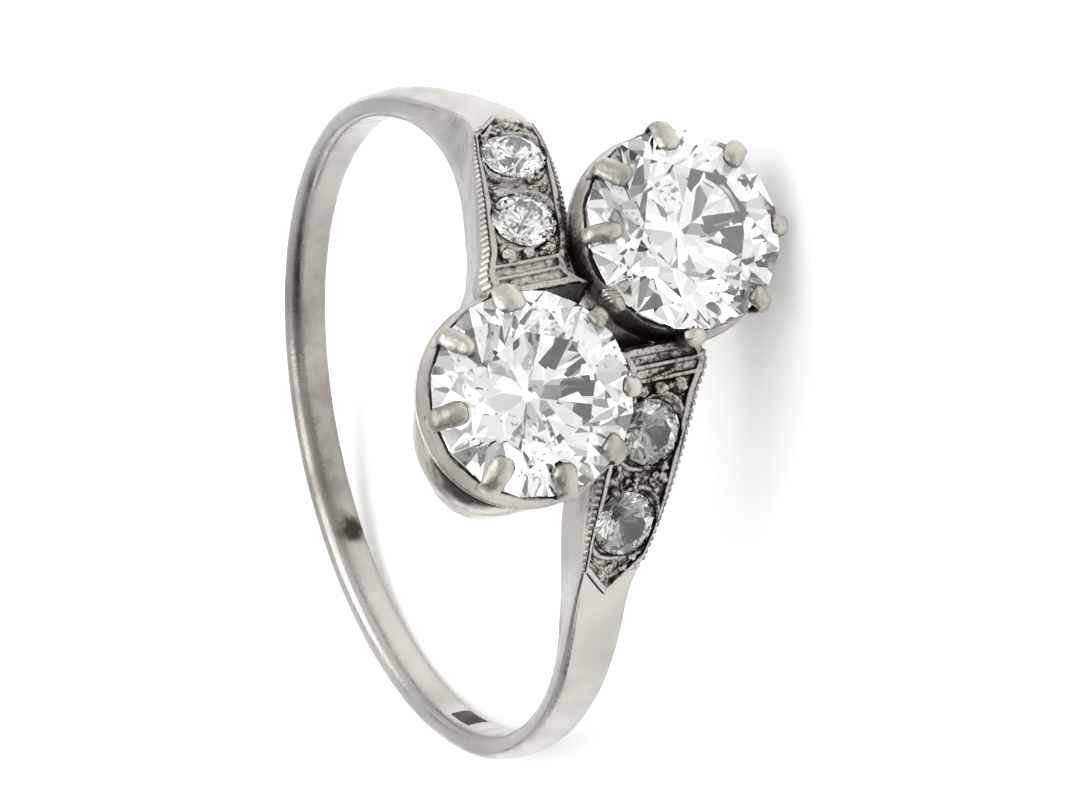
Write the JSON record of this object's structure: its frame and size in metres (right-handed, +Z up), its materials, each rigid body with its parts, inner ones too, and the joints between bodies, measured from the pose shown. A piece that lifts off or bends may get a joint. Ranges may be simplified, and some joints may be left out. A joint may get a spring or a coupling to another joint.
{
  "type": "toi et moi ring",
  "caption": "Finger ring with two large round stones side by side in claw settings, and pointed shoulders set with smaller round stones and edged with milgrain.",
  "frame": {"origin": "middle of the lying ring's outline on the ground it rests on", "axes": "+Z up; the ring lies on its side, the head faces -Y, and the finger axis leans 15 degrees from upright"},
  "size_m": [0.0182, 0.0221, 0.0106],
  "materials": {
    "metal": "satin platinum with fine scratches",
    "main_stone": "polished cut stone",
    "shoulder_stone": "polished cut stone"
  },
  "bodies": {
    "root": {"mounting": "metal", "main_stone_1": "main_stone", "main_stone_2": "main_stone", "shoulder_stone_1": "shoulder_stone", "shoulder_stone_2": "shoulder_stone", "shoulder_stone_3": "shoulder_stone", "shoulder_stone_4": "shoulder_stone"}
  },
  "joints": []
}
